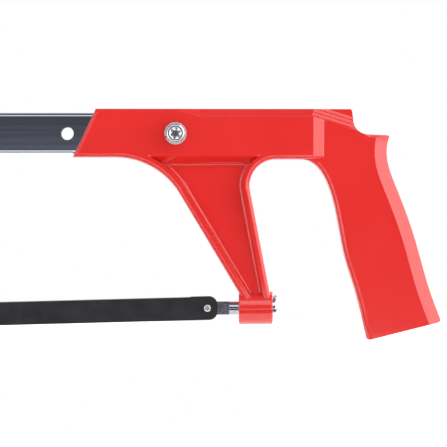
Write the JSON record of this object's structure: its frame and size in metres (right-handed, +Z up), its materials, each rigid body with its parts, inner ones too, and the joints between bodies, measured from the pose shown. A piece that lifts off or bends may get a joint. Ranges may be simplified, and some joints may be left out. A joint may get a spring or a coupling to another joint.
{
  "type": "hacksaw",
  "caption": "Hacksaw with a cast pistol-grip handle, a bent rectangular tube frame and a pin-held blade tensioned by a rod and nut at the handle's boss.",
  "frame": {"origin": "middle of the saw's length and width, at the level of its lowest point", "axes": "+X towards the rear of the handle along the frame tube, +Z up from the blade to the frame tube, +Y to the side away from the frame screw's head"},
  "size_m": [0.4628, 0.036, 0.1281],
  "materials": {
    "red_paint": "gloss",
    "plated_tube": "bright plated, drawn",
    "plated_steel": "bright plated",
    "machined_steel": "satin",
    "blade_steel": "satin",
    "black_plastic": "matte"
  },
  "bodies": {
    "handle": {"handle_casting": "red_paint", "frame_tube": "plated_tube", "front_end_cap": "black_plastic", "front_sleeve": "machined_steel", "tension_washer": "machined_steel", "frame_plain_washer": "plated_steel", "frame_nut": "plated_steel"},
    "blade_line": {"tension_rod": "plated_steel", "rear_blade_pin": "machined_steel", "front_stud": "plated_steel", "front_blade_pin": "machined_steel"},
    "blade": {"blade": "blade_steel"},
    "tension_nut": {"tension_nut": "plated_steel"},
    "lock_washer": {"frame_lock_washer": "plated_steel"},
    "frame_screw": {"frame_screw": "plated_steel"}
  },
  "joints": [
    {"name": "tension_nut_turn", "type": "hinge", "parent": "handle", "child": "tension_nut", "pos_m": [0.1423, 0, 0.022], "axis": [1, 0, 0], "range_deg": [0, 1800]},
    {"name": "blade_line_slide", "type": "slide", "parent": "handle", "child": "blade_line", "axis": [-1, 0, 0], "range_m": [0, 0.005]},
    {"name": "blade_lift_off", "type": "slide", "parent": "blade_line", "child": "blade", "axis": [0, -1, 0], "range_m": [0, 0.03]},
    {"name": "lock_washer_slide", "type": "slide", "parent": "handle", "child": "lock_washer", "axis": [0, -1, 0], "range_m": [0, 0.006]},
    {"name": "frame_screw_turn", "type": "hinge", "parent": "lock_washer", "child": "frame_screw", "pos_m": [0.09055, 0, 0.115], "axis": [0, -1, 0], "range_deg": [0, 2160]}
  ],
  "couplings": [
    {"joint": "tension_nut_turn", "follows": "blade_line_slide", "rad_per_m": 6283.2},
    {"joint": "frame_screw_turn", "follows": "lock_washer_slide", "rad_per_m": 6283.2}
  ]
}
